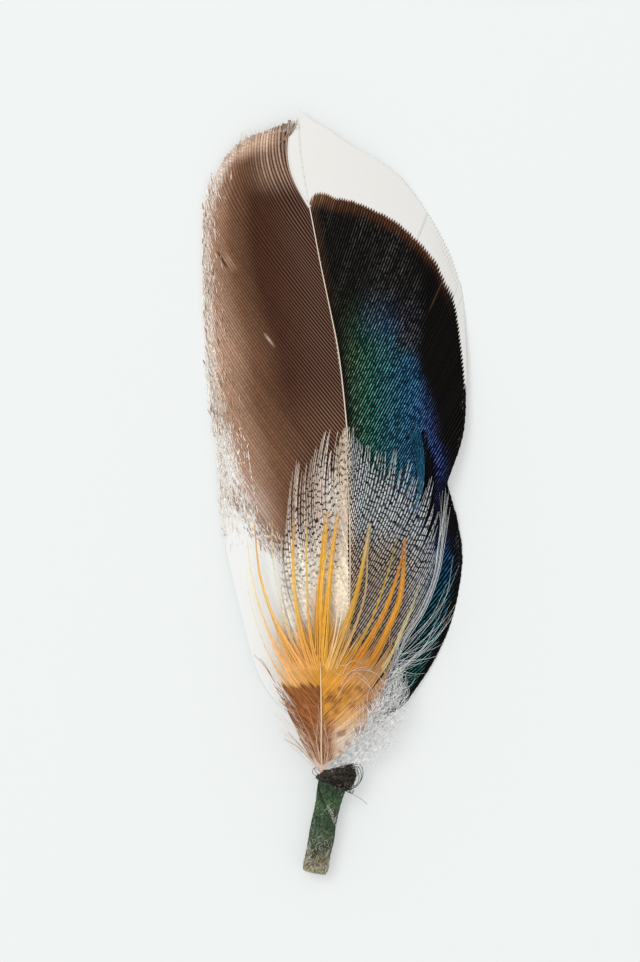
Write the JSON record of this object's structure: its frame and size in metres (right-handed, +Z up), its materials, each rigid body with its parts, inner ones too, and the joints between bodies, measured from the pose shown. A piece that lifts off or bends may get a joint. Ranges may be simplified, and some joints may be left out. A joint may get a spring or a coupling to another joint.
{
  "type": "hat feather",
  "caption": "Feather trim for a hat: a broad wing feather with a dark iridescent half and a white tip, laid with smaller feathers, thread-bound on a taped stem.",
  "frame": {"origin": "on the surface that it lies on, under the middle of the bunch's bounding box", "axes": "+Y from the taped stem to the feather tips, +Z up from the surface, +X to the right for someone who looks down on it with the tips away from them"},
  "size_m": [0.0394, 0.115, 0.0071],
  "materials": {
    "speculum_front": "brown vane, black vane with green and blue sheen, white tip",
    "speculum_back": "black vane with teal and blue sheen",
    "flank": "grey and cream barbs crossed by fine dark wavy lines, white down",
    "golden": "dyed golden yellow locks, tan brown base",
    "thread": "dull black sewing thread",
    "tape": "green waxed crepe tape, worn olive brown at the end"
  },
  "bodies": {
    "root": {"speculum_feather_front": "speculum_front", "speculum_feather_back": "speculum_back", "flank_feather": "flank", "golden_feather": "golden", "thread_binding": "thread", "stem_tape": "tape"}
  },
  "joints": []
}
